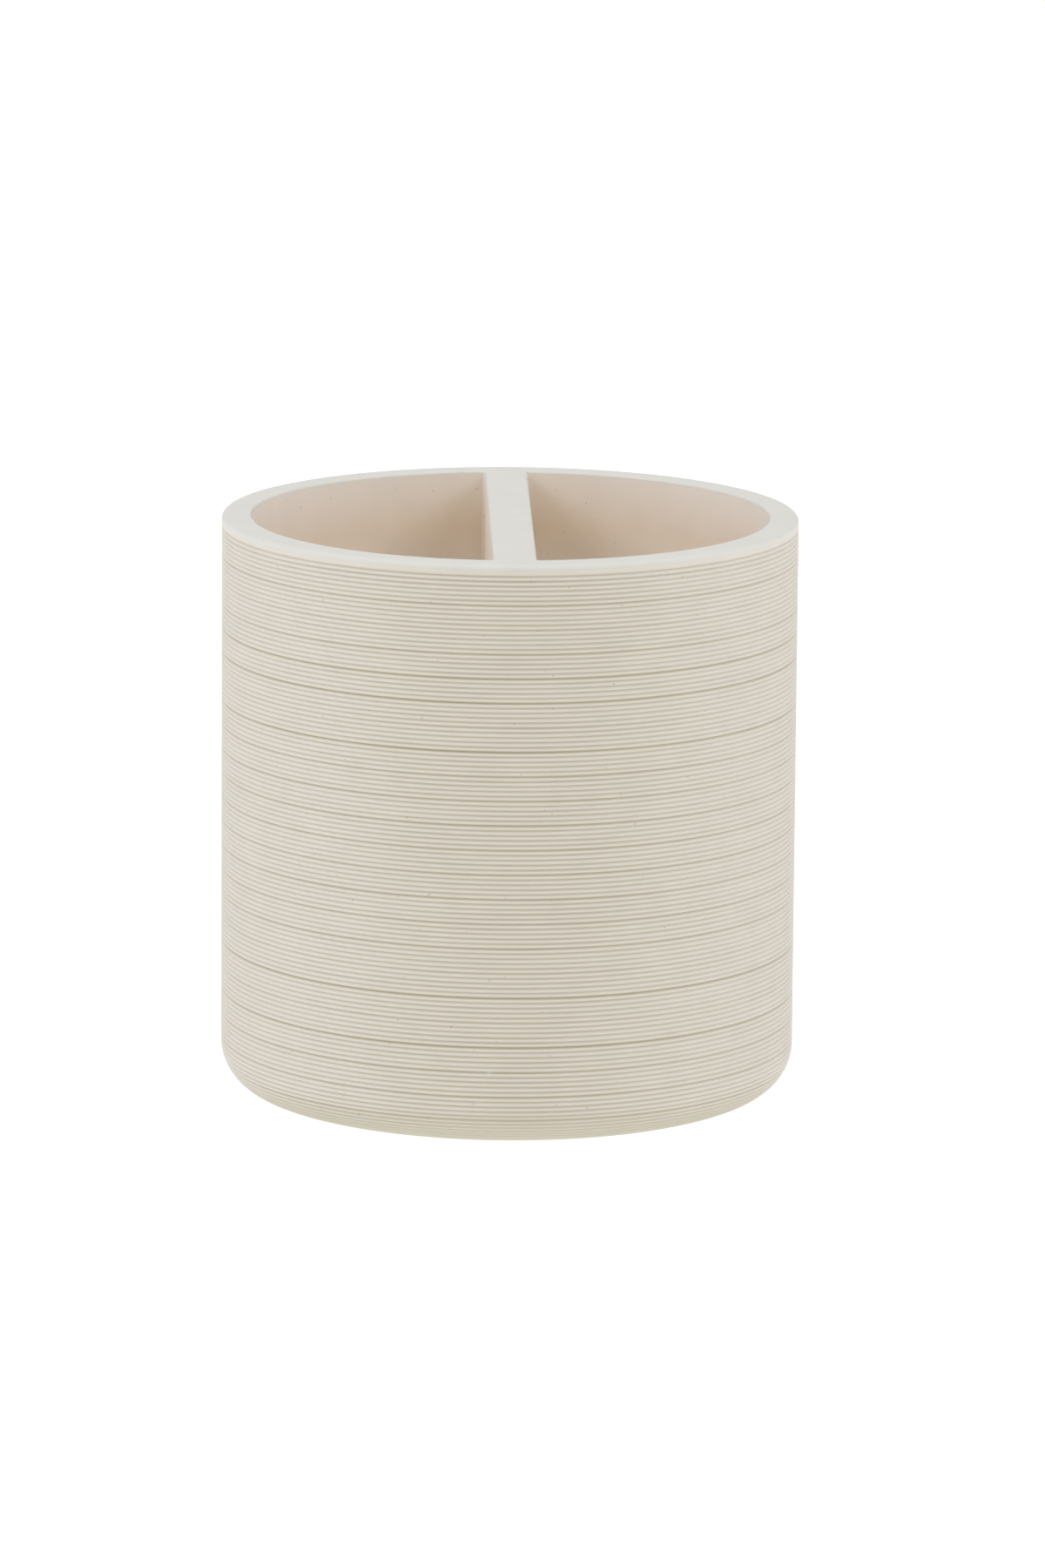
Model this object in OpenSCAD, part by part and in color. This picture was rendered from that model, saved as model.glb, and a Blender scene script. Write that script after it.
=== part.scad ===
// Toothbrush holder: a squat round cup, cast in one piece in stone-filled resin.
// A divider wall across the mouth is part of the casting and makes two half-round wells.
// Fine level grooves wrap the outside, from just under the rim to the edge of the underside.
// Each fifth groove is cut wider and deeper than its neighbours.
// A foam disc, stuck into a shallow recess in the underside, carries the holder.

/* [Cup] */
// Outside diameter, over the ribs
cup_d = 85; // [70:0.5:110]
// Height of the casting, from its flat underside to the rim
cup_h = 86; // [60:0.5:130]
// Thickness of the side wall, from the well to the rib crests
wall_t = 4.5; // [3:0.1:8]
// Thickness of the floor, from the underside to the bottom of the wells
floor_t = 6.5; // [4:0.1:12]
// Radius of the rounded foot, outside
foot_r = 7; // [3:0.1:12]
// Radius of the rim's outer edge
rim_edge_r = 0.6; // [0.2:0.1:1.5]

/* [Wells] */
// Radius where the floor turns up into the side wall
well_floor_r = 4; // [1:0.1:10]
// Radius of the upright corners between the side wall and the divider
well_corner_r = 1.5; // [0.5:0.1:6]
// Radius of the edge round each well's mouth
mouth_edge_r = 0.6; // [0.2:0.1:1.2]

/* [Divider] */
// Thickness of the divider wall
divider_t = 6.3; // [3:0.1:14]
// Radius where the divider turns out into the floor
divider_foot_r = 3; // [1:0.1:6]

/* [Grooves] */
// Distance from one groove to the next, measured along the skin
groove_pitch = 0.72; // [0.6:0.002:2]
// Width of a plain groove at its mouth
groove_w = 0.3; // [0.15:0.01:0.4]
// Depth of a plain groove
groove_depth = 0.25; // [0.1:0.01:0.5]
// Width of an accent groove at its mouth
accent_w = 0.4; // [0.2:0.01:0.5]
// Depth of an accent groove
accent_depth = 0.4; // [0.15:0.01:0.8]
// Number of grooves from one accent groove to the next
accent_every = 5; // [2:1:12]
// Number of plain grooves above the first accent groove
accent_first = 1; // [0:1:11]
// Height of the smooth band between the rim's edge and the first groove
smooth_band = 0.7; // [0.3:0.1:6]
// How far round the foot the grooves run, in degrees from the upright wall
groove_end_angle = 78; // [0:1:84]

/* [Foot pad] */
// Width of the flat ring left between the foot's radius and the recess
base_ring_w = 3; // [1:0.1:10]
// Depth of the recess in the underside
recess_depth = 1.2; // [0.5:0.1:2.5]
// Gap all round between the pad and the wall of its recess
pad_gap = 0.5; // [0.2:0.1:2]
// Thickness of the foam pad
pad_t = 1.6; // [1.2:0.1:5]
// Thickness of the adhesive film above the pad
film_t = 0.15; // [0.05:0.01:0.5]
// How far the film stops short of the pad's edge
film_inset = 1; // [0.5:0.1:5]

/* [Hidden] */
$fn = 144;

// How far a cut runs past the surface that it opens
overrun = 0.5;
// Width of a groove's floor, as a share of its mouth
groove_floor_share = 0.45;
// Distance from an upright corner's centre to the walls it joins, as a share of its radius
corner_reach_share = 0.97;
// Steps in the smooth stretch of the foot, below the last groove
foot_steps = 4;

cup_r = cup_d / 2;
well_wall_r = cup_r - wall_t;
foot_center_x = cup_r - foot_r;
recess_r = foot_center_x - base_ring_w;
pad_r = recess_r - pad_gap;
film_r = pad_r - film_inset;

// Centre of an upright corner's radius. It stands a little nearer to the side wall and the
// divider than its radius, so that the corner crosses both at a slight angle.
corner_reach = well_corner_r * corner_reach_share;
corner_x = divider_t / 2 + corner_reach;
corner_y = sqrt(pow(well_wall_r - corner_reach, 2) - pow(corner_x, 2));
corner_angle = atan2(corner_y, corner_x);

// The pad and its film are thicker than the recess is deep, and lift the casting clear
base_z = pad_t + film_t - recess_depth;

// The skin is measured downwards from the rim: an upright stretch, then the foot's arc
upright_len = cup_h - foot_r;
arc_len = foot_r * PI / 2;
groove_start = rim_edge_r + smooth_band + groove_w / 2;
groove_stop = upright_len + arc_len * groove_end_angle / 90;
groove_count = floor((groove_stop - groove_start) / groove_pitch) + 1;

function is_accent(i) = i % accent_every == accent_first % accent_every;
function groove_at(i) = groove_start + i * groove_pitch;

// A point of the section, so far down the skin and so deep below it
function foot_angle(down) = (down - upright_len) / arc_len * 90;
function skin_point(down, deep) =
    down <= upright_len
        ? [cup_r - deep, cup_h - down]
        : [foot_center_x + (foot_r - deep) * cos(foot_angle(down)),
           foot_r - (foot_r - deep) * sin(foot_angle(down))];

// The four corners of one groove, from the top down
function groove_points(i) =
    let (mouth = is_accent(i) ? accent_w : groove_w,
         deep = is_accent(i) ? accent_depth : groove_depth,
         bed = mouth * groove_floor_share,
         mid = groove_at(i))
    [skin_point(mid - mouth / 2, 0), skin_point(mid - bed / 2, deep),
     skin_point(mid + bed / 2, deep), skin_point(mid + mouth / 2, 0)];

grooved_side = [for (i = [0 : groove_count - 1]) each groove_points(i)];

// The plain end of the foot's arc, from the last groove to the flat underside
last_groove_edge = groove_at(groove_count - 1) + accent_w / 2;
plain_len = upright_len + arc_len - last_groove_edge;
plain_foot = [for (k = [1 : foot_steps]) skin_point(last_groove_edge + plain_len * k / foot_steps, 0)];

// Half of the outside, as a section to be turned about the axis
module outside_section() {
    difference() {
        polygon(concat([[0, cup_h], [cup_r, cup_h]], grooved_side, plain_foot, [[0, 0]]));
        translate([cup_r - rim_edge_r, cup_h - rim_edge_r])
            edge_round(rim_edge_r);
    }
}

// What a convex corner loses when it is rounded
module edge_round(r) {
    difference() {
        square(r + overrun);
        circle(r);
    }
}

// What a concave corner gains when it is filled out to a radius
module corner_fill(r) {
    difference() {
        square(r);
        translate([r, r])
            circle(r);
    }
}

// Half of the top of a round hole of radius r, opened out by the radius of its edge
module mouth_section(r) {
    difference() {
        translate([0, cup_h - mouth_edge_r])
            square([r + mouth_edge_r, mouth_edge_r + overrun]);
        translate([r + mouth_edge_r, cup_h - mouth_edge_r])
            circle(mouth_edge_r);
    }
}

// Half of the round hollow that the divider splits into two wells
module hollow_section() {
    translate([0, floor_t + well_floor_r])
        square([well_wall_r, cup_h - floor_t - well_floor_r]);
    translate([0, floor_t])
        square([well_wall_r - well_floor_r, 2 * well_floor_r]);
    translate([well_wall_r - well_floor_r, floor_t + well_floor_r])
        circle(well_floor_r);
    mouth_section(well_wall_r);
}

// The divider seen from the front: flush with the rim, and footed on the floor
module divider_section() {
    difference() {
        translate([-divider_t / 2, floor_t - overrun])
            square([divider_t, cup_h - floor_t + overrun]);
        for (side = [0, 1])
            mirror([side, 0])
                translate([divider_t / 2 - mouth_edge_r, cup_h - mouth_edge_r])
                    edge_round(mouth_edge_r);
    }
    for (side = [0, 1])
        mirror([side, 0])
            translate([divider_t / 2, floor_t])
                corner_fill(divider_foot_r);
}

// The material that rounds out one upright corner between the side wall and the divider
module upright_corner() {
    difference() {
        linear_extrude(height = cup_h)
            polygon([[0, corner_y], [corner_x, corner_y],
                     [cup_r * cos(corner_angle), cup_r * sin(corner_angle)], [0, cup_r]]);
        translate([corner_x, corner_y, 0])
            rotate_extrude() {
                square([well_corner_r, cup_h]);
                mouth_section(well_corner_r);
            }
    }
}

// The two half-round wells, with the divider left standing between them
module wells() {
    difference() {
        rotate_extrude()
            hollow_section();
        rotate([90, 0, 0])
            linear_extrude(height = cup_d, center = true)
                divider_section();
        for (side = [0, 1], end = [0, 1])
            mirror([side, 0, 0])
                mirror([0, end, 0])
                    upright_corner();
    }
}

module cast_body() {
    color("#e3ddd0")
        translate([0, 0, base_z])
            difference() {
                rotate_extrude()
                    outside_section();
                wells();
                translate([0, 0, -overrun])
                    cylinder(r = recess_r, h = recess_depth + overrun);
            }
}

module foot_pad() {
    color("#b9b7b0")
        cylinder(r = pad_r, h = pad_t);
}

module adhesive_film() {
    color("#efe9c8")
        translate([0, 0, pad_t])
            cylinder(r = film_r, h = film_t);
}

cast_body();
foot_pad();
adhesive_film();
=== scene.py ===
# Toothbrush holder: a round cup with a divider wall, cast in one in matte stone-filled resin.
# Its skin is cut with level grooves, and it stands on a foam disc set into its underside.
import math
import bmesh
import bpy
from mathutils import Matrix, Vector
from mathutils.geometry import tessellate_polygon


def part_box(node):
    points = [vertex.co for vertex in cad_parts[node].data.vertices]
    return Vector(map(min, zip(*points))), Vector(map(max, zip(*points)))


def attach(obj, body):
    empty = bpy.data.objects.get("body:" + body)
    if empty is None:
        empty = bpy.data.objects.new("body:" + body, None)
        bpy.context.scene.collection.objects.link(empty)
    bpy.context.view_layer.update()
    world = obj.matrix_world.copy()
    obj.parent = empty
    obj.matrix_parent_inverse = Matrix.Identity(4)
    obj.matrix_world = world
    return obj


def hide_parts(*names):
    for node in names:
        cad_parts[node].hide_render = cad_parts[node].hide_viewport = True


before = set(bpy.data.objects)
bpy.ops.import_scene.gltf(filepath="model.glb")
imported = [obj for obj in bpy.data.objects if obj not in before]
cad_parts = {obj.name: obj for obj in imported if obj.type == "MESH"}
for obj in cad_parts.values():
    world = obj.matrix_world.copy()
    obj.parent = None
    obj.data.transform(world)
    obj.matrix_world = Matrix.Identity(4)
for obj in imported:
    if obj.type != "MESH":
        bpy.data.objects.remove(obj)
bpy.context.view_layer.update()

mm = 0.001
inset = 0.01 * mm  # keeps the finer meshes inside the boxes of the solids they replace
castLow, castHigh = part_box("cast_body")
padLow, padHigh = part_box("foot_pad")
castBase = castLow.z  # the casting's flat underside, which the pad carries clear of the floor
castTop = castHigh.z
cupHeight = castTop - castBase
cupRadius = min(castHigh.x, castHigh.y) - inset
padRadius = min(padHigh.x, padHigh.y) - inset


# An sRGB hex colour as linear red, green, blue and alpha, with the constants of the standard
def toLinear(hexColour):
    parts = [int(hexColour[k:k + 2], 16) / 255 for k in (1, 3, 5)]
    return [p / 12.92 if p <= 0.04045 else ((p + 0.055) / 1.055) ** 2.4 for p in parts] + [1.0]


def addObject(name, data):
    thing = bpy.data.objects.new(name, data)
    bpy.context.scene.collection.objects.link(thing)
    return thing


# A new material and its shader
def startMaterial(name):
    material = bpy.data.materials.new(name)
    material.use_nodes = True
    return material, material.node_tree.nodes["Principled BSDF"]


# Adds one node to a tree, with its settings, and links or sets its inputs
def addNode(tree, kind, inputs=None, **settings):
    node = tree.nodes.new(kind)
    for name, value in settings.items():
        setattr(node, name, value)
    for key, value in (inputs or {}).items():
        if isinstance(value, bpy.types.Node):
            value = next(socket for socket in value.outputs if socket.enabled)
        if isinstance(value, bpy.types.NodeSocket):
            tree.links.new(value, node.inputs[key])
        else:
            node.inputs[key].default_value = value
    return node


# Camera: a long lens, a little above the rim and a little left of the divider's line
cameraFit = {
    "distance": 1432.3 * mm,  # from the cup's axis, level
    "height": 335.1 * mm,  # above the casting's underside
    "azimuth": 1.0962,  # degrees round the cup, from straight in front
    "yaw": 0.0834,  # degrees that it looks past the cup's axis, to the right
    "pitch": 11.4297,  # degrees that it looks down
    "roll": 0.4378,
    "focalPixels": 11332.3,
    "framePixels": 1800,  # the frame's long side
    "sensorWidth": 36,  # mm
    "clipStart": 0.05,
    "clipEnd": 50,
}


def makeCamera(fit):
    around = math.radians(fit["azimuth"])
    place = Vector((-fit["distance"] * math.sin(around), -fit["distance"] * math.cos(around),
                    castBase + fit["height"]))
    heading = Matrix.Rotation(-math.radians(fit["azimuth"] + fit["yaw"]), 4, "Z")
    tilt = Matrix.Rotation(math.radians(90 - fit["pitch"]), 4, "X")
    roll = Matrix.Rotation(math.radians(fit["roll"]), 4, "Z")
    data = bpy.data.cameras.new("photoCamera")
    data.sensor_width = fit["sensorWidth"]
    data.lens = fit["focalPixels"] / fit["framePixels"] * data.sensor_width
    data.clip_start = fit["clipStart"]
    data.clip_end = fit["clipEnd"]
    camera = addObject("photoCamera", data)
    camera.matrix_world = Matrix.Translation(place) @ heading @ tilt @ roll
    bpy.context.scene.camera = camera


makeCamera(cameraFit)
print("camera placed")


# Studio: a pale surround, a softbox high on each side, the left one a little stronger, and a weak
# fill from the front
studio = {
    "surround": 0.625,
    "surroundColour": "#fffaf1",
    "floorColour": "#5a5a5a",
    "floorRoughness": 0.9,
    "floorGlow": 0.985,
    "floorGlowColour": "#ffffff",
    "floorSize": 12.0,
    "floorDrop": 0.02 * mm,
    "softboxes": {  # the two at the sides are cooler than the surround
        "leftBox": {"place": (-1.2, -0.24, 1.2), "size": 0.8, "power": 12.7, "colour": "#e2e9ff"},
        "rightBox": {"place": (1.2, -0.24, 1.2), "size": 0.8, "power": 11.2, "colour": "#e2e9ff"},
        "frontFill": {"place": (0.0, -1.8, 0.5), "size": 1.0, "power": 1.7, "colour": "#ffffff"},
    },
}


# Matte paper, lit from below like a light table, so that it stays white up to the foot
def makeFloorPaper():
    material, shader = startMaterial("whitePaperSweep")
    shader.inputs["Roughness"].default_value = studio["floorRoughness"]
    shader.inputs["Base Color"].default_value = toLinear(studio["floorColour"])
    shader.inputs["Emission Color"].default_value = toLinear(studio["floorGlowColour"])
    shader.inputs["Emission Strength"].default_value = studio["floorGlow"]
    return material


# A square light, turned towards the middle of the cup
def makeSoftbox(name, box):
    data = bpy.data.lights.new(name, "AREA")
    data.shape = "SQUARE"
    data.size = box["size"]
    data.energy = box["power"]
    data.color = toLinear(box["colour"])[:3]
    light = addObject(name, data)
    light.location = box["place"]
    aim = Vector((0, 0, cupHeight / 2)) - Vector(box["place"])
    light.rotation_euler = aim.to_track_quat("-Z", "Y").to_euler()


def makeStudio():
    half = studio["floorSize"] / 2
    level = padLow.z - studio["floorDrop"]
    corners = [(x * half, y * half, level) for x, y in ((-1, -1), (1, -1), (1, 1), (-1, 1))]
    mesh = bpy.data.meshes.new("paperSweep")
    mesh.from_pydata(corners, [], [(0, 1, 2, 3)])
    mesh.materials.append(makeFloorPaper())
    floor = addObject("paperSweep", mesh)
    for name, box in studio["softboxes"].items():
        makeSoftbox(name, box)
    world = bpy.data.worlds.new("whiteSurround")
    world.use_nodes = True
    background = world.node_tree.nodes["Background"]
    background.inputs["Color"].default_value = toLinear(studio["surroundColour"])
    background.inputs["Strength"].default_value = studio["surround"]
    bpy.context.scene.world = world
    bpy.context.scene.view_settings.view_transform = "Standard"
    bpy.context.scene.view_settings.look = "None"


makeStudio()
print("studio lit")


# The casting's grooved skin is one rule: how far down each groove lies, and how the surface dips
# across it. Lengths down the skin start at the rim and run on round the foot.
grooves = {
    "columns": 112,  # facets round the cup
    "count": 121,
    "first": 1.71 * mm,  # centre of the first groove, below the rim
    "pitch": 0.7069 * mm,
    "ease": 0.00014 * mm,  # the pitch widens slightly from groove to groove
    "width": 0.56 * mm,
    "depth": 0.26 * mm,
    "accentWidth": 0.56 * mm,
    "accentDepth": 0.38 * mm,  # of an accent at its full strength
    "accentEvery": 5,
    "accentFirst": 1,
    "faintAccents": (0, 2, 6, 16, 18),  # hardly deeper than a plain groove, counted from the rim
    "faintShare": 0.2,
    "strongAccents": (4, 5, 7, 17, 19),
    "strongShare": 0.86,
    "middleShare": 0.52,  # all the other accents
    "wander": 0.035 * mm,  # how far a groove strays from its line
    "wanderPace": (3.1, 3.1, 0.9),  # how fast that drifts, round the cup and from groove to groove
    "depthSpread": 0.25,  # how much a groove's depth varies along it and from one to the next
    "depthPace": (2.3, 2.3, 1.7),
    "driftDetail": 2.0,
    "seed": 7,
    "seedStep": 13.7,  # how far the drifts of one seed lie from those of the next
    "depthShift": 5.3,  # keeps the drift in depth apart from the drift in place
    "weld": 0.001 * mm,  # points nearer than this become one, where the skin comes round to itself
}
# The rows of points of one groove, from its upper lip to the rib below it. Each has its distance
# below the groove's centre, in half widths and in half pitches, and its share of the depth.
grooveRows = (
    (-1.0, 0.0, 0.08),
    (-0.5, 0.0, 0.60),
    (0.0, 0.0, 1.0),
    (0.5, 0.0, 0.60),
    (1.0, 0.0, 0.08),
    (0.0, 1.0, 0.0),
)
rowsPerGroove = len(grooveRows)
rowWidthShares, rowPitchShares, rowDepthShares = zip(*grooveRows)
# How far each accent goes from a plain groove to an accent at its full strength
accentShares = [grooves["faintShare"] if n in grooves["faintAccents"] else
                grooves["strongShare"] if n in grooves["strongAccents"] else grooves["middleShare"]
                for n in range(grooves["count"] // grooves["accentEvery"] + 1)]
countTolerance = 0.1  # two whole numbers closer than this are the same
noiseMiddle = 0.5  # a noise texture runs from 0 to 1

casting = {
    "footRadius": 7.0 * mm,
    "rimEdge": 0.6 * mm,  # radius of the rim's outer edge
    "rimLine": 0.2 * mm,  # a faint line of painted shade so far below that edge
    "rimLineSpread": 0.15 * mm,  # how far that line fades, up and down
    "rimLineShade": 0.5,  # as a share of a groove's dust and painted shade
    "bandStart": 0.06 * mm,  # from the first groove's lip up to the smooth band
    "wall": 4.35 * mm,
    "floor": 6.5 * mm,
    "divider": 6.3 * mm,
    "wellFloorRadius": 4.0 * mm,
    "dividerFootRadius": 3.0 * mm,
    "wellCorner": 0.5 * mm,
    "mouthEdge": 0.35 * mm,
    "support": 0.25 * mm,  # a flat margin beside each rounded edge keeps its shading true
    "recessRadius": 32.5 * mm,
    "recessDepth": 1.2 * mm,
    "recessEdge": 0.15 * mm,
}
# How many facets each bend and each wall is made of
edgeSteps = 6
recessEdgeSteps = 3
filletSteps = 8
wallSteps = 10
wallArcSteps = 72
cornerSteps = 8
faceSteps = 24

footCentreRadius = cupRadius - casting["footRadius"]
footCentreZ = castBase + casting["footRadius"]
wellRadius = cupRadius - casting["wall"]

# What the skin's tree is given. Its noise runs half a unit either way, so both drifts are doubled.
skinInputs = {
    "Columns": grooves["columns"],
    "Groove count": grooves["count"],
    "Accent every": grooves["accentEvery"],
    "Accent first": grooves["accentFirst"],
    "Seed": grooves["seed"],
    "Cup radius": cupRadius,
    "Foot radius": casting["footRadius"],
    "Foot centre height": footCentreZ,
    "Upright length": cupHeight - casting["footRadius"],
    "First groove": grooves["first"],
    "Pitch": grooves["pitch"],
    "Ease": grooves["ease"],
    "Width": grooves["width"],
    "Depth": grooves["depth"],
    "Accent width": grooves["accentWidth"],
    "Accent depth": grooves["accentDepth"],
    "Wander": 2 * grooves["wander"],
    "Depth spread": 2 * grooves["depthSpread"],
}


# Looks a whole number up in a table of shares
def addTable(tree, index, table):
    switch = addNode(tree, "GeometryNodeIndexSwitch", data_type="FLOAT")
    while len(switch.index_switch_items) < len(table):
        switch.index_switch_items.new()
    tree.links.new(index.outputs[0], switch.inputs["Index"])
    for k, share in enumerate(table):
        switch.inputs[k + 1].default_value = share
    return switch


# The tree that lays out a flat grid, bends it round the cup and cuts the grooves into it
def makeSkinTree(material):
    tree = bpy.data.node_groups.new("groovedSkin", "GeometryNodeTree")
    face = tree.interface
    face.new_socket("Geometry", in_out="INPUT", socket_type="NodeSocketGeometry")
    face.new_socket("Geometry", in_out="OUTPUT", socket_type="NodeSocketGeometry")
    for name, value in skinInputs.items():
        kind = "NodeSocketInt" if isinstance(value, int) else "NodeSocketFloat"
        face.new_socket(name, in_out="INPUT", socket_type=kind)
    given = tree.nodes.new("NodeGroupInput").outputs

    # A flat grid, whose columns go round the cup and whose rows go down the skin
    rows = addNode(tree, "ShaderNodeMath",
                   {0: given["Groove count"], 1: float(rowsPerGroove), 2: -1.0},
                   operation="MULTIPLY_ADD")
    rowSpan = addNode(tree, "ShaderNodeMath", {0: rows, 1: 1.0}, operation="SUBTRACT")
    columnVertices = addNode(tree, "ShaderNodeMath", {0: given["Columns"], 1: 1.0},
                             operation="ADD")
    grid = addNode(tree, "GeometryNodeMeshGrid",
                   {"Size X": given["Columns"], "Size Y": rowSpan,
                    "Vertices X": columnVertices, "Vertices Y": rows})
    place = addNode(tree, "ShaderNodeSeparateXYZ", {0: tree.nodes.new("GeometryNodeInputPosition")})
    halfColumns = addNode(tree, "ShaderNodeMath", {0: given["Columns"], 1: 0.5},
                          operation="MULTIPLY")
    halfRows = addNode(tree, "ShaderNodeMath", {0: rowSpan, 1: 0.5}, operation="MULTIPLY")
    column = addNode(tree, "ShaderNodeMath", {0: place.outputs["X"], 1: halfColumns},
                     operation="ADD")
    row = addNode(tree, "ShaderNodeMath", {0: place.outputs["Y"], 1: halfRows}, operation="ADD")
    row = addNode(tree, "ShaderNodeMath", {0: row}, operation="ROUND")
    turn = addNode(tree, "ShaderNodeMath", {0: column, 1: given["Columns"]}, operation="DIVIDE")
    angle = addNode(tree, "ShaderNodeMath", {0: turn, 1: -2 * math.pi}, operation="MULTIPLY")
    cosine = addNode(tree, "ShaderNodeMath", {0: angle}, operation="COSINE")
    sine = addNode(tree, "ShaderNodeMath", {0: angle}, operation="SINE")

    # Which groove a row belongs to, and which step of that groove it is
    groove = addNode(tree, "ShaderNodeMath", {0: row, 1: float(rowsPerGroove)}, operation="DIVIDE")
    groove = addNode(tree, "ShaderNodeMath", {0: groove}, operation="FLOOR")
    step = addNode(tree, "ShaderNodeMath", {0: row, 1: float(rowsPerGroove)}, operation="MODULO")
    widthShare = addTable(tree, step, rowWidthShares)
    pitchShare = addTable(tree, step, rowPitchShares)
    depthShare = addTable(tree, step, rowDepthShares)

    # Whether that groove is an accent, and how strong a one
    phase = addNode(tree, "ShaderNodeMath", {0: groove, 1: given["Accent every"]},
                    operation="MODULO")
    accent = addNode(tree, "ShaderNodeMath",
                     {0: phase, 1: given["Accent first"], 2: countTolerance}, operation="COMPARE")
    accentNumber = addNode(tree, "ShaderNodeMath", {0: groove, 1: given["Accent every"]},
                           operation="DIVIDE")
    accentNumber = addNode(tree, "ShaderNodeMath", {0: accentNumber}, operation="FLOOR")
    strength = addTable(tree, accentNumber, accentShares)
    accent = addNode(tree, "ShaderNodeMath", {0: accent, 1: strength}, operation="MULTIPLY")

    # Uneven hand work: slow drifts along a groove and from one groove to the next
    around = addNode(tree, "ShaderNodeCombineXYZ", {"X": cosine, "Y": sine, "Z": groove})
    wanderSeed = addNode(tree, "ShaderNodeMath", {0: given["Seed"], 1: grooves["seedStep"]},
                         operation="MULTIPLY")
    wanderPlace = addNode(tree, "ShaderNodeVectorMath", {0: around, 1: grooves["wanderPace"]},
                          operation="MULTIPLY")
    wander = addNode(tree, "ShaderNodeTexNoise",
                     {"Vector": wanderPlace, "W": wanderSeed, "Scale": 1.0,
                      "Detail": grooves["driftDetail"]}, noise_dimensions="4D")
    wander = addNode(tree, "ShaderNodeMath", {0: wander.outputs[0], 1: noiseMiddle},
                     operation="SUBTRACT")
    wander = addNode(tree, "ShaderNodeMath", {0: wander, 1: given["Wander"]}, operation="MULTIPLY")
    cutSeed = addNode(tree, "ShaderNodeMath", {0: wanderSeed, 1: grooves["depthShift"]},
                      operation="ADD")
    cutPlace = addNode(tree, "ShaderNodeVectorMath", {0: around, 1: grooves["depthPace"]},
                       operation="MULTIPLY")
    cut = addNode(tree, "ShaderNodeTexNoise",
                  {"Vector": cutPlace, "W": cutSeed, "Scale": 1.0,
                   "Detail": grooves["driftDetail"]}, noise_dimensions="4D")
    cut = addNode(tree, "ShaderNodeMath", {0: cut.outputs[0], 1: noiseMiddle},
                  operation="SUBTRACT")
    cut = addNode(tree, "ShaderNodeMath", {0: cut, 1: given["Depth spread"], 2: 1.0},
                  operation="MULTIPLY_ADD")

    # Distance down the skin, and depth below its crests
    ease = addNode(tree, "ShaderNodeMath", {0: groove, 1: given["Ease"], 2: given["Pitch"]},
                   operation="MULTIPLY_ADD")
    centre = addNode(tree, "ShaderNodeMath", {0: groove, 1: ease, 2: given["First groove"]},
                     operation="MULTIPLY_ADD")
    width = addNode(tree, "ShaderNodeMix",
                    {0: accent, 2: given["Width"], 3: given["Accent width"]})
    fullDepth = addNode(tree, "ShaderNodeMix",
                        {0: accent, 2: given["Depth"], 3: given["Accent depth"]})
    halfWidth = addNode(tree, "ShaderNodeMath", {0: width, 1: 0.5}, operation="MULTIPLY")
    halfPitch = addNode(tree, "ShaderNodeMath", {0: given["Pitch"], 1: 0.5}, operation="MULTIPLY")
    down = addNode(tree, "ShaderNodeMath", {0: halfWidth, 1: widthShare, 2: centre},
                   operation="MULTIPLY_ADD")
    down = addNode(tree, "ShaderNodeMath", {0: halfPitch, 1: pitchShare, 2: down},
                   operation="MULTIPLY_ADD")
    down = addNode(tree, "ShaderNodeMath", {0: down, 1: wander}, operation="ADD")
    deep = addNode(tree, "ShaderNodeMath", {0: fullDepth, 1: depthShare}, operation="MULTIPLY")
    deep = addNode(tree, "ShaderNodeMath", {0: deep, 1: cut}, operation="MULTIPLY")

    # The upright wall first, then the foot's arc
    above = addNode(tree, "ShaderNodeMath", {0: given["Upright length"], 1: down},
                    operation="SUBTRACT")
    above = addNode(tree, "ShaderNodeMath", {0: above, 1: 0.0}, operation="MAXIMUM")
    below = addNode(tree, "ShaderNodeMath", {0: down, 1: given["Upright length"]},
                    operation="SUBTRACT")
    below = addNode(tree, "ShaderNodeMath", {0: below, 1: 0.0}, operation="MAXIMUM")
    bend = addNode(tree, "ShaderNodeMath", {0: below, 1: given["Foot radius"]}, operation="DIVIDE")
    arm = addNode(tree, "ShaderNodeMath", {0: given["Foot radius"], 1: deep}, operation="SUBTRACT")
    centreRadius = addNode(tree, "ShaderNodeMath",
                           {0: given["Cup radius"], 1: given["Foot radius"]},
                           operation="SUBTRACT")
    bendCosine = addNode(tree, "ShaderNodeMath", {0: bend}, operation="COSINE")
    bendSine = addNode(tree, "ShaderNodeMath", {0: bend}, operation="SINE")
    radius = addNode(tree, "ShaderNodeMath", {0: arm, 1: bendCosine, 2: centreRadius},
                     operation="MULTIPLY_ADD")
    drop = addNode(tree, "ShaderNodeMath", {0: arm, 1: bendSine}, operation="MULTIPLY")
    height = addNode(tree, "ShaderNodeMath", {0: given["Foot centre height"], 1: above},
                     operation="ADD")
    height = addNode(tree, "ShaderNodeMath", {0: height, 1: drop}, operation="SUBTRACT")
    x = addNode(tree, "ShaderNodeMath", {0: radius, 1: cosine}, operation="MULTIPLY")
    y = addNode(tree, "ShaderNodeMath", {0: radius, 1: sine}, operation="MULTIPLY")
    point = addNode(tree, "ShaderNodeCombineXYZ", {"X": x, "Y": y, "Z": height})

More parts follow.
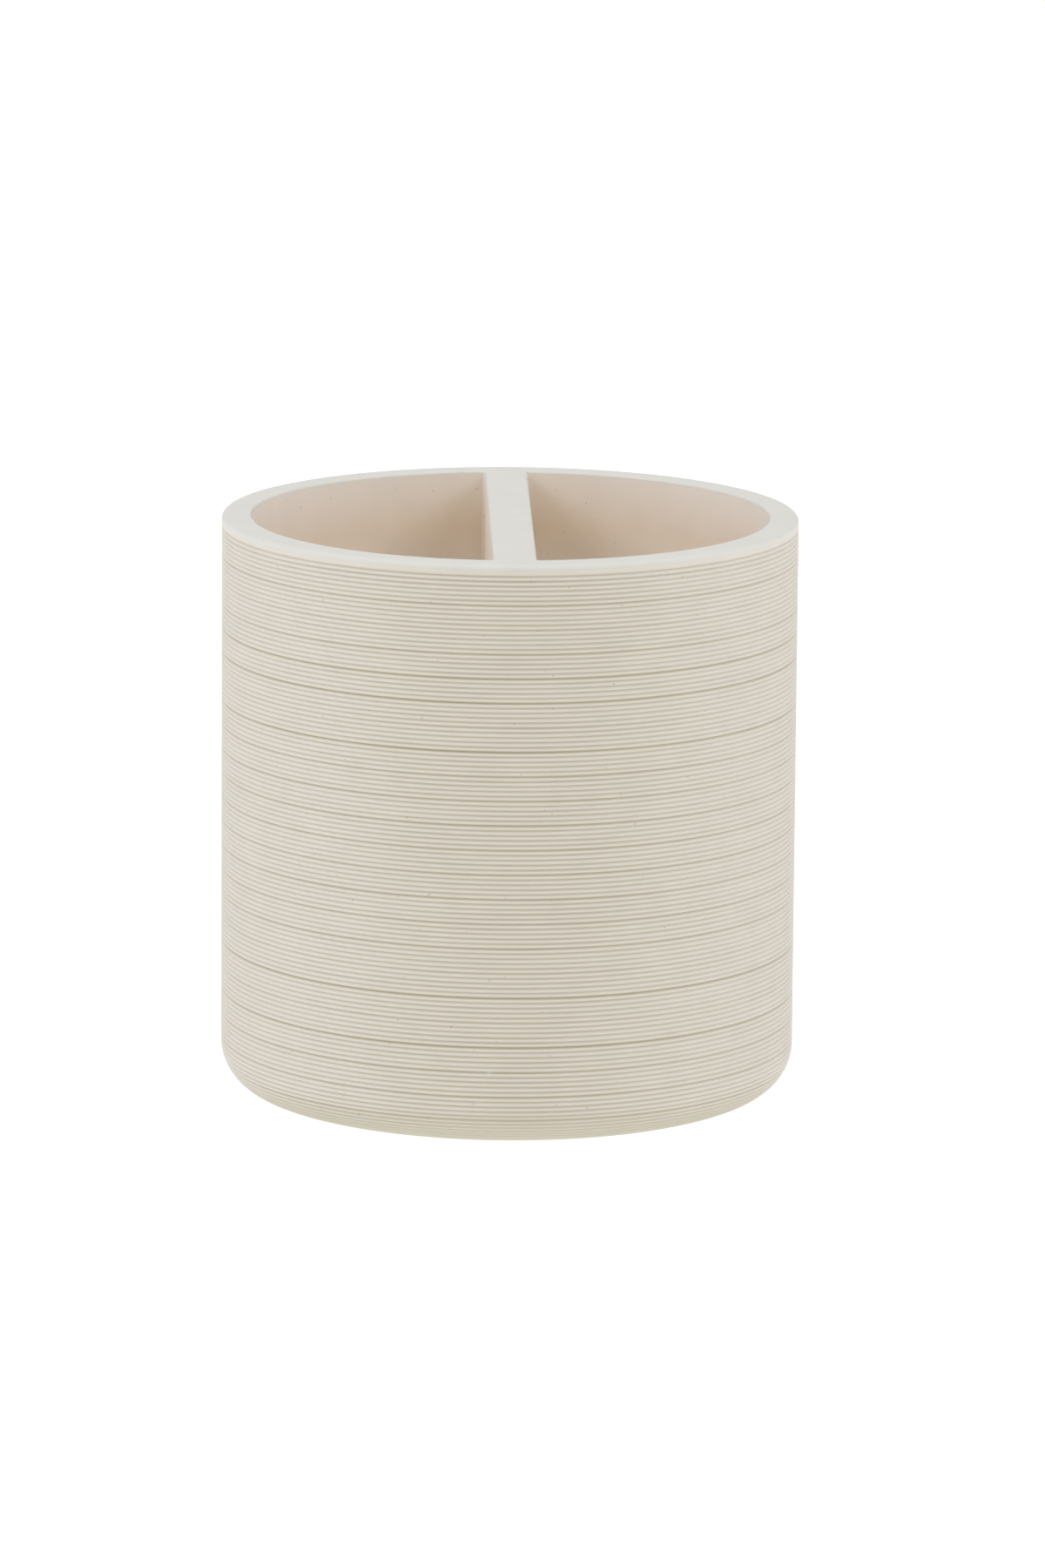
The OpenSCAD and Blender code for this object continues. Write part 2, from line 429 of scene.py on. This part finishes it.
    # What the material reads: how deep in a groove a point lies, how far that groove is an accent,
    # and that the point lies on the grooved skin
    hollow = addNode(tree, "ShaderNodeMath", {0: depthShare, 1: cut}, operation="MULTIPLY")
    accentHollow = addNode(tree, "ShaderNodeMath", {0: accent, 1: depthShare},
                           operation="MULTIPLY")
    shape = grid.outputs["Mesh"]
    for name, value in (("hollow", hollow), ("accent", accentHollow), ("ribbed", 1.0)):
        shape = addNode(tree, "GeometryNodeStoreNamedAttribute",
                        {"Geometry": shape, "Name": name, "Value": value},
                        data_type="FLOAT", domain="POINT")
    bent = addNode(tree, "GeometryNodeSetPosition", {"Geometry": shape, "Position": point})
    closed = addNode(tree, "GeometryNodeMergeByDistance",
                     {"Geometry": bent, "Distance": grooves["weld"]})
    smooth = addNode(tree, "GeometryNodeSetShadeSmooth", {"Geometry": closed})
    whole = addNode(tree, "GeometryNodeRealizeInstances", {"Geometry": smooth})
    finished = addNode(tree, "GeometryNodeSetMaterial", {"Geometry": whole, "Material": material})
    addNode(tree, "NodeGroupOutput", {"Geometry": finished})
    return tree


def makeSkinMesh(material):
    tree = makeSkinTree(material)
    carrier = addObject("skinCarrier", bpy.data.meshes.new("skinCarrier"))
    modifier = carrier.modifiers.new("groovedSkin", "NODES")
    modifier.node_group = tree
    for item in tree.interface.items_tree:
        if item.item_type == "SOCKET" and item.in_out == "INPUT" and item.name in skinInputs:
            modifier[item.identifier] = skinInputs[item.name]
    shown = carrier.evaluated_get(bpy.context.evaluated_depsgraph_get())
    mesh = bpy.data.meshes.new_from_object(shown)
    bpy.data.objects.remove(carrier)
    bpy.data.node_groups.remove(tree)
    return mesh


# Adds a ring of points to a build and joins it to the ring before it, point by point
def addRing(build, points, before=None):
    ring = [build.verts.new(point) for point in points]
    if before:
        for k in range(len(before)):
            n = (k + 1) % len(before)
            build.faces.new((before[k], before[n], ring[n], ring[k]))
    return ring


# Points along a level arc, without its last one
def arcPoints(centre, radius, start, sweep, steps, height):
    angles = [start + sweep * k / steps for k in range(steps)]
    return [(centre[0] + radius * math.cos(a), centre[1] + radius * math.sin(a), height)
            for a in angles]


# The sine and cosine of every step through a quarter turn
def quarterTurn(steps):
    angles = [math.pi / 2 * k / steps for k in range(steps + 1)]
    return [(math.sin(a), math.cos(a)) for a in angles]


# Turns a profile of radii and heights about the axis, with as many facets as the skin has
# columns, on from the ring before it. Returns its last ring.
def turnProfile(build, profile, ring=None):
    for radius, height in profile:
        points = arcPoints((0, 0), radius, 0, 2 * math.pi, grooves["columns"], height)
        ring = addRing(build, points, ring)
    return ring


# Fills a flat region between an outer ring and the rings of its holes
def fillFlat(build, rings):
    points = [[vertex.co.xy.to_3d() for vertex in ring] for ring in rings]
    flat = [vertex for ring in rings for vertex in ring]
    for a, b, c in tessellate_polygon(points):
        build.faces.new((flat[a], flat[b], flat[c]))


# Turns a build into a smooth mesh that faces outwards
def finishMesh(build, name, material):
    bmesh.ops.recalc_face_normals(build, faces=build.faces)
    for face in build.faces:
        face.smooth = True
    openEdges = sum(1 for edge in build.edges if len(edge.link_faces) != 2)
    mesh = bpy.data.meshes.new(name)
    build.to_mesh(mesh)
    build.free()
    mesh.materials.append(material)
    mesh.calc_loop_triangles()
    print(name, "made:", len(mesh.loop_triangles), "triangles,", openEdges, "open edges")
    return mesh


# The outline of the right-hand well at one height, anticlockwise from the divider's front end
def wellOutline(wallRadius, faceX, cornerRadius, height):
    cornerX = faceX + cornerRadius
    cornerY = math.sqrt((wallRadius - cornerRadius) ** 2 - cornerX ** 2)
    turn = math.atan2(cornerY, cornerX)
    front = arcPoints((cornerX, -cornerY), cornerRadius, -math.pi, math.pi - turn, cornerSteps,
                      height)
    wall = arcPoints((0, 0), wallRadius, -turn, 2 * turn, wallArcSteps, height)
    back = arcPoints((cornerX, cornerY), cornerRadius, turn, math.pi - turn, cornerSteps, height)
    face = [(faceX, cornerY - 2 * cornerY * k / faceSteps, height) for k in range(faceSteps)]
    return front + wall + back + face


# Every outline of a well, from the flat margin round its mouth down to its floor
def wellOutlines():
    edge = casting["mouthEdge"]
    corner = casting["wellCorner"]
    support = casting["support"]
    faceX = casting["divider"] / 2
    floorZ = castBase + casting["floor"]
    wallFoot = casting["wellFloorRadius"]
    faceFoot = casting["dividerFootRadius"]
    out = edge + support
    outlines = [wellOutline(wellRadius + out, faceX - out, corner + out, castTop)]
    for sine, cosine in quarterTurn(edgeSteps):
        out = edge * (1 - sine)
        outlines.append(wellOutline(wellRadius + out, faceX - out, corner + out,
                                    castTop - edge * (1 - cosine)))
    high = castTop - edge
    low = floorZ + wallFoot
    for k in range(1, wallSteps):
        outlines.append(wellOutline(wellRadius, faceX, corner, high + (low - high) * k / wallSteps))
    for sine, cosine in quarterTurn(filletSteps):
        height = floorZ + wallFoot * (1 - sine)
        wallIn = wallFoot * (1 - cosine)
        faceTurn = max(0.0, 1 - (height - floorZ) / faceFoot)
        faceIn = faceFoot * (1 - math.sqrt(1 - faceTurn ** 2))
        outlines.append(wellOutline(wellRadius - wallIn, faceX + faceIn, corner, height))
    outlines.append(wellOutline(wellRadius - wallFoot - support, faceX + faceFoot + support,
                                corner, floorZ))
    return outlines


# The skin's upper and lower open rings, anticlockwise. Rounding puts the point on the right-hand
# side last, so each ring starts one column on from the rings that are joined to it.
def openRings(build):
    found = {vertex for edge in build.edges if edge.is_boundary for vertex in edge.verts}
    middle = castBase + cupHeight / 2
    byAngle = sorted(found, key=lambda v: math.atan2(v.co.y, v.co.x) % (2 * math.pi))
    return [v for v in byAngle if v.co.z > middle], [v for v in byAngle if v.co.z < middle]


# Smooth band and rim: up from the first groove, round the outer edge and on to the flat top
def addRim(build, ring):
    ribbed = build.verts.layers.float["ribbed"]
    hollow = build.verts.layers.float["hollow"]
    edge = casting["rimEdge"]
    line = castTop - edge - casting["rimLine"]
    spread = casting["rimLineSpread"]
    bandStart = ring[0].co.z + casting["bandStart"]
    # Painted shade: a faint dark line just below the rim's outer edge, stored in the groove-depth
    # attribute
    for height, ribbedShare, shadeShare in ((bandStart, 1.0, 0.0), (line - spread, 1.0, 0.0),
                                           (line, 0.5, casting["rimLineShade"]),
                                           (line + spread, 0.0, 0.0)):
        ring = turnProfile(build, [(cupRadius, height)], ring)
        for vertex in ring:
            vertex[ribbed] = ribbedShare
            vertex[hollow] = shadeShare
    profile = [(cupRadius - edge * (1 - cosine), castTop - edge * (1 - sine))
               for sine, cosine in quarterTurn(edgeSteps)]
    profile.append((cupRadius - edge - casting["support"], castTop))
    return turnProfile(build, profile, ring)


# Both wells, the left one mirrored. Returns the ring round each mouth.
def addWells(build):
    wellDepth = build.verts.layers.float["wellDepth"]
    mouths = []
    for side in (1, -1):
        rings = []
        for outline in wellOutlines():
            points = [(side * x, y, z) for x, y, z in outline]
            ring = addRing(build, points, rings[-1] if rings else None)
            for vertex in ring:
                vertex[wellDepth] = castTop - vertex.co.z
            rings.append(ring)
        fillFlat(build, rings[-1:])
        mouths.append(rings[0])
    return mouths


# Foot: the plain end of its arc, the flat ring, and the recess that seats the pad
def addFoot(build, ring):
    foot = casting["footRadius"]
    recess = casting["recessRadius"]
    edge = casting["recessEdge"]
    support = casting["support"]
    ceiling = castBase + casting["recessDepth"]
    start = math.asin(min(1.0, (footCentreZ - ring[0].co.z) / foot))
    profile = []
    for k in range(1, edgeSteps + 1):
        a = start + (math.pi / 2 - start) * k / edgeSteps
        profile.append((footCentreRadius + foot * math.cos(a), footCentreZ - foot * math.sin(a)))
    profile += [(footCentreRadius - support, castBase), (recess + edge + support, castBase)]
    profile += [(recess + edge * (1 - sine), castBase + edge * (1 - cosine))
                for sine, cosine in quarterTurn(recessEdgeSteps)]
    profile += [(recess, ceiling - edge), (recess - edge, ceiling),
                (recess - edge - support, ceiling)]
    fillFlat(build, [turnProfile(build, profile, ring)])


def makeCasting(material):
    build = bmesh.new()
    skin = makeSkinMesh(material)
    build.from_mesh(skin)
    bpy.data.meshes.remove(skin)
    build.verts.layers.float.new("wellDepth")
    topRing, footRing = openRings(build)
    rim = addRim(build, topRing)
    fillFlat(build, [rim] + addWells(build))
    addFoot(build, footRing)
    return finishMesh(build, "castBody", material)


# Stone-filled polyester resin, cast and left matte: dense, chalky and ivory, with a cool smooth
# rim, warmer cut ribs, tan dust and painted shade in the grooves and a sprinkle of dark filler
# grains; the wells and the foot carry painted light and shade
resin = {
    "rimColour": "#d7d6cc",
    "ribColour": "#d8d2c6",
    # groove and accent colours: tan dust and painted shade, darker deeper in each groove, darker
    # still in the accents
    "grooveColour": "#a59c7b",
    "dustAndShadeStart": 0.15,  # the share of a groove's depth where its dust and painted shade begin
    "dustAndShadeCover": 0.36,  # how far the dust and painted shade in a groove's bed hide the resin
    "accentColour": "#a69968",
    "accentStart": 0.1,
    "accentCover": 0.42,
    # well colours: lighter than the outside as painted light, with a band of painted shade near the
    # mouth
    "wellTopLitColour": "#eae1d4",
    "wellShadeColour": "#e7d6c0",  # painted shade, darker and tan over the first centimetre or so
    "wellShadeDepth": 8.0 * mm,
    "wellLitColour": "#f5f0e6",
    "wellLitDepth": 22.0 * mm,
    "mouthStart": 0.03 * mm,  # the rim's colour turns into the well's between these depths
    "mouthEnd": 0.6 * mm,
    # painted shade, darker towards the foot's underside
    "footShadeHeight": 6.0 * mm,
    "footShadeColour": "#f3f3eb",
    "mottle": 5.0 * mm,
    "mottleDetail": 4.0,
    "mottleSpread": 0.02,  # how much lighter or darker the mottling goes
    "mottleLow": 0.25,  # the span of its noise that does so
    "mottleHigh": 0.75,
    "speckColour": "#a8937a",
    "speck": 1.1 * mm,  # spacing of the dark filler grains
    "speckShare": 0.72,  # the share of those places that stay empty
    "speckRadius": 0.17,  # of the largest grain, as a share of the spacing
    "speckSoftness": 0.06,
    "speckCover": 0.55,
    "fleckPlace": (-3.3 * mm, -42.3 * mm, 12.0 * mm),  # resin left in one groove, low on the front
    "fleckRadius": 0.5 * mm,
    "fleckCore": 0.4,  # the share of its radius before it begins to fade
    "fleckCover": 0.8,
    "grain": 0.25 * mm,  # chalky grain, drawn a little coarse so that it shows
    "grainDetail": 3.0,
    "pitShare": 0.8,  # how deep a filler grain is pitted, against the chalky grain
    "reliefDepth": 0.03 * mm,
    "reliefStrength": 0.25,
    "smoothRoughness": 0.57,  # the roughness follows the same grain
    "dullRoughness": 0.69,
    "smoothGrain": 0.3,
    "dullGrain": 0.7,
    "ior": 1.5,
    "sheen": 0.1,  # a chalky bloom that lifts the surface where it is seen at a slant
    "sheenRoughness": 0.4,
}


def makeCastResin():
    material, shader = startMaterial("castStoneResin")
    tree = material.node_tree
    place = addNode(tree, "ShaderNodeTexCoord").outputs["Object"]
    ribbed, hollow, accent, wellDepth = [
        addNode(tree, "ShaderNodeAttribute", attribute_name=name).outputs["Fac"]
        for name in ("ribbed", "hollow", "accent", "wellDepth")]

    # Skin: the smooth rim, the ribs, tan dust and painted shade in every groove, and more of both
    # in the accents
    skin = addNode(tree, "ShaderNodeMix",
                   {0: ribbed, 6: toLinear(resin["rimColour"]), 7: toLinear(resin["ribColour"])},
                   data_type="RGBA")
    # Painted shade with real dust: the colour darkens towards each groove's bed
    dustAndShade = addNode(tree, "ShaderNodeMapRange",
                   {0: hollow, 1: resin["dustAndShadeStart"], 4: resin["dustAndShadeCover"]},
                   interpolation_type="SMOOTHSTEP")
    skin = addNode(tree, "ShaderNodeMix",
                   {0: dustAndShade, 6: skin.outputs[2], 7: toLinear(resin["grooveColour"])},
                   data_type="RGBA")
    dark = addNode(tree, "ShaderNodeMapRange",
                   {0: accent, 1: resin["accentStart"], 4: resin["accentCover"]})
    skin = addNode(tree, "ShaderNodeMix",
                   {0: dark, 6: skin.outputs[2], 7: toLinear(resin["accentColour"])},
                   data_type="RGBA")

    # Wells: a lighter copy of the resin, painted light; painted shade, darker and tan, near the
    # mouth, and painted light, lighter further down
    wellShade = addNode(tree, "ShaderNodeMapRange", {0: wellDepth, 2: resin["wellShadeDepth"]})
    well = addNode(tree, "ShaderNodeMix",
                   {0: wellShade, 6: toLinear(resin["wellTopLitColour"]),
                    7: toLinear(resin["wellShadeColour"])}, data_type="RGBA")
    wellLight = addNode(tree, "ShaderNodeMapRange",
                    {0: wellDepth, 1: resin["wellShadeDepth"], 2: resin["wellLitDepth"]},
                    interpolation_type="SMOOTHSTEP")
    well = addNode(tree, "ShaderNodeMix",
                   {0: wellLight, 6: well.outputs[2], 7: toLinear(resin["wellLitColour"])},
                   data_type="RGBA")
    inside = addNode(tree, "ShaderNodeMapRange",
                     {0: wellDepth, 1: resin["mouthStart"], 2: resin["mouthEnd"]},
                     interpolation_type="SMOOTHSTEP")
    skin = addNode(tree, "ShaderNodeMix", {0: inside, 6: skin.outputs[2], 7: well.outputs[2]},
                   data_type="RGBA")

    # Painted shade: the lowest part of the foot darkens towards the bottom
    height = addNode(tree, "ShaderNodeSeparateXYZ", {0: place})
    footShade = addNode(tree, "ShaderNodeMapRange",
                    {0: height.outputs["Z"], 1: castBase, 2: castBase + resin["footShadeHeight"],
                     3: 1.0, 4: 0.0}, interpolation_type="SMOOTHSTEP")
    skin = addNode(tree, "ShaderNodeMix",
                   {0: footShade, 6: skin.outputs[2], 7: toLinear(resin["footShadeColour"])},
                   data_type="RGBA", blend_type="MULTIPLY")

    # Slow mottling, dark filler grains and the one fleck
    mottle = addNode(tree, "ShaderNodeTexNoise",
                     {"Vector": place, "Scale": 1 / resin["mottle"],
                      "Detail": resin["mottleDetail"]})
    mottle = addNode(tree, "ShaderNodeMapRange",
                     {0: mottle.outputs[0], 1: resin["mottleLow"], 2: resin["mottleHigh"],
                      3: 1 - resin["mottleSpread"], 4: 1 + resin["mottleSpread"]})
    skin = addNode(tree, "ShaderNodeVectorMath", {0: skin.outputs[2], 3: mottle},
                   operation="SCALE")
    grains = addNode(tree, "ShaderNodeTexVoronoi",
                     {"Vector": place, "Scale": 1 / resin["speck"]})
    pick = addNode(tree, "ShaderNodeSeparateColor", {0: grains.outputs["Color"]})
    size = addNode(tree, "ShaderNodeMapRange",
                   {0: pick.outputs[0], 1: resin["speckShare"], 4: resin["speckRadius"]})
    spot = addNode(tree, "ShaderNodeMath", {0: size, 1: grains.outputs["Distance"]},
                   operation="SUBTRACT")
    spot = addNode(tree, "ShaderNodeMapRange",
                   {0: spot, 2: resin["speckSoftness"], 4: resin["speckCover"]})
    skin = addNode(tree, "ShaderNodeMix",
                   {0: spot, 6: skin.outputs[0], 7: toLinear(resin["speckColour"])},
                   data_type="RGBA")
    fleck = addNode(tree, "ShaderNodeVectorMath", {0: place, 1: resin["fleckPlace"]},
                    operation="DISTANCE")
    fleck = addNode(tree, "ShaderNodeMapRange",
                    {0: fleck.outputs["Value"], 1: resin["fleckCore"] * resin["fleckRadius"],
                     2: resin["fleckRadius"], 3: resin["fleckCover"], 4: 0.0})
    skin = addNode(tree, "ShaderNodeMix",
                   {0: fleck, 6: skin.outputs[2], 7: toLinear(resin["rimColour"])},
                   data_type="RGBA")
    tree.links.new(skin.outputs[2], shader.inputs["Base Color"])

    # Chalky grain with small pits
    grain = addNode(tree, "ShaderNodeTexNoise",
                    {"Vector": place, "Scale": 1 / resin["grain"],
                     "Detail": resin["grainDetail"]})
    relief = addNode(tree, "ShaderNodeMath",
                     {0: spot, 1: -resin["pitShare"], 2: grain.outputs[0]},
                     operation="MULTIPLY_ADD")
    bump = addNode(tree, "ShaderNodeBump",
                   {"Strength": resin["reliefStrength"], "Distance": resin["reliefDepth"],
                    "Height": relief})
    tree.links.new(bump.outputs[0], shader.inputs["Normal"])
    rough = addNode(tree, "ShaderNodeMapRange",
                    {0: grain.outputs[0], 1: resin["smoothGrain"], 2: resin["dullGrain"],
                     3: resin["smoothRoughness"], 4: resin["dullRoughness"]})
    tree.links.new(rough.outputs[0], shader.inputs["Roughness"])
    shader.inputs["IOR"].default_value = resin["ior"]
    shader.inputs["Sheen Weight"].default_value = resin["sheen"]
    shader.inputs["Sheen Roughness"].default_value = resin["sheenRoughness"]
    return material


castBody = addObject("castBody", makeCasting(makeCastResin()))
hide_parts("cast_body")
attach(castBody, "root")


# Foot pad: a die-cut foam disc, flat where it rests and pressed a little fuller at its side
pad = {
    "edge": 0.3 * mm,  # how far the cut edges are rounded over
    "bulge": 0.06 * mm,  # the side swells by this much under the cup's weight
    "margin": 0.5 * mm,  # flat, beside each rounded edge
    "colour": "#b9b6ae",
    "skinColour": "#c6c3bb",
    "cell": 0.45 * mm,  # foam cells, drawn a little coarse so that they show
    "pitFloor": 0.15,  # where a cell's pit ends, as a share of the cells' spacing
    "pitLip": 0.75,
    "pitDepth": 0.06 * mm,
    "pitStrength": 0.5,
    "cloud": 8.0 * mm,  # slow change of colour
    "cloudDetail": 3.0,
    "roughness": 0.9,
}


def makeFootPad(material):
    high, low = padHigh.z, padLow.z
    edge, bulge = pad["edge"], pad["bulge"]
    middle = (high + low) / 2
    upright = high - low - 2 * edge
    flat = padRadius - edge - pad["margin"]
    rounded = [(padRadius - bulge - edge * (1 - sine), edge * (1 - cosine))
               for sine, cosine in quarterTurn(edgeSteps)]
    side = []
    for k in range(1, edgeSteps):
        height = high - edge - upright * k / edgeSteps
        swell = 1 - ((height - middle) / (upright / 2)) ** 2
        side.append((padRadius - bulge * (1 - swell), height))
    profile = [(radius, high - inwards) for radius, inwards in rounded] + side
    profile += [(radius, low + inwards) for radius, inwards in reversed(rounded)]
    profile.append((flat, low))
    build = bmesh.new()
    ring = turnProfile(build, [(flat, high)])
    fillFlat(build, [ring])
    fillFlat(build, [turnProfile(build, profile, ring)])
    return finishMesh(build, "footPad", material)


# Closed-cell EVA foam, die cut: dull, soft to the light, with its small cells showing as pits, with
# painted shade in each pit
def makeFoam():
    material, shader = startMaterial("closedCellEvaFoam")
    tree = material.node_tree
    place = addNode(tree, "ShaderNodeTexCoord").outputs["Object"]
    cells = addNode(tree, "ShaderNodeTexVoronoi", {"Vector": place, "Scale": 1 / pad["cell"]})
    wall = addNode(tree, "ShaderNodeMapRange",
                   {0: cells.outputs["Distance"], 1: pad["pitFloor"], 2: pad["pitLip"]})
    cloud = addNode(tree, "ShaderNodeTexNoise",
                    {"Vector": place, "Scale": 1 / pad["cloud"], "Detail": pad["cloudDetail"]})
    # Painted shade: darker in each cell's pit, and darker or lighter at random with the slow cloud
    tone = addNode(tree, "ShaderNodeMath", {0: wall, 1: cloud.outputs[0]}, operation="MULTIPLY")
    skin = addNode(tree, "ShaderNodeMix",
                   {0: tone, 6: toLinear(pad["colour"]), 7: toLinear(pad["skinColour"])},
                   data_type="RGBA")
    tree.links.new(skin.outputs[2], shader.inputs["Base Color"])
    bump = addNode(tree, "ShaderNodeBump",
                   {"Strength": pad["pitStrength"], "Distance": pad["pitDepth"], "Height": wall})
    tree.links.new(bump.outputs[0], shader.inputs["Normal"])
    shader.inputs["Roughness"].default_value = pad["roughness"]
    return material


footPad = addObject("footPad", makeFootPad(makeFoam()))
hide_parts("foot_pad")
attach(footPad, "root")


# Adhesive film between the pad and the casting
film = {
    "colour": "#ece5c6",
    "ageColour": "#d9cc9f",
    "ripple": 6.0 * mm,
    "rippleDetail": 2.0,
    "rippleDepth": 0.05 * mm,
    "rippleStrength": 0.3,
    "roughness": 0.3,
}


# Double-sided acrylic film, coated: thin, glossy and faintly yellow, with slow ripples
def makeAcrylicFilm():
    material, shader = startMaterial("acrylicAdhesiveFilm")
    tree = material.node_tree
    place = addNode(tree, "ShaderNodeTexCoord").outputs["Object"]
    ripple = addNode(tree, "ShaderNodeTexNoise",
                     {"Vector": place, "Scale": 1 / film["ripple"],
                      "Detail": film["rippleDetail"]})
    skin = addNode(tree, "ShaderNodeMix",
                   {0: ripple.outputs[0], 6: toLinear(film["colour"]),
                    7: toLinear(film["ageColour"])}, data_type="RGBA")
    tree.links.new(skin.outputs[2], shader.inputs["Base Color"])
    bump = addNode(tree, "ShaderNodeBump",
                   {"Strength": film["rippleStrength"], "Distance": film["rippleDepth"],
                    "Height": ripple.outputs[0]})
    tree.links.new(bump.outputs[0], shader.inputs["Normal"])
    shader.inputs["Roughness"].default_value = film["roughness"]
    return material


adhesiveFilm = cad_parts["adhesive_film"]
acrylic = makeAcrylicFilm()
for slot in adhesiveFilm.material_slots:
    slot.material = acrylic
print("film dressed")
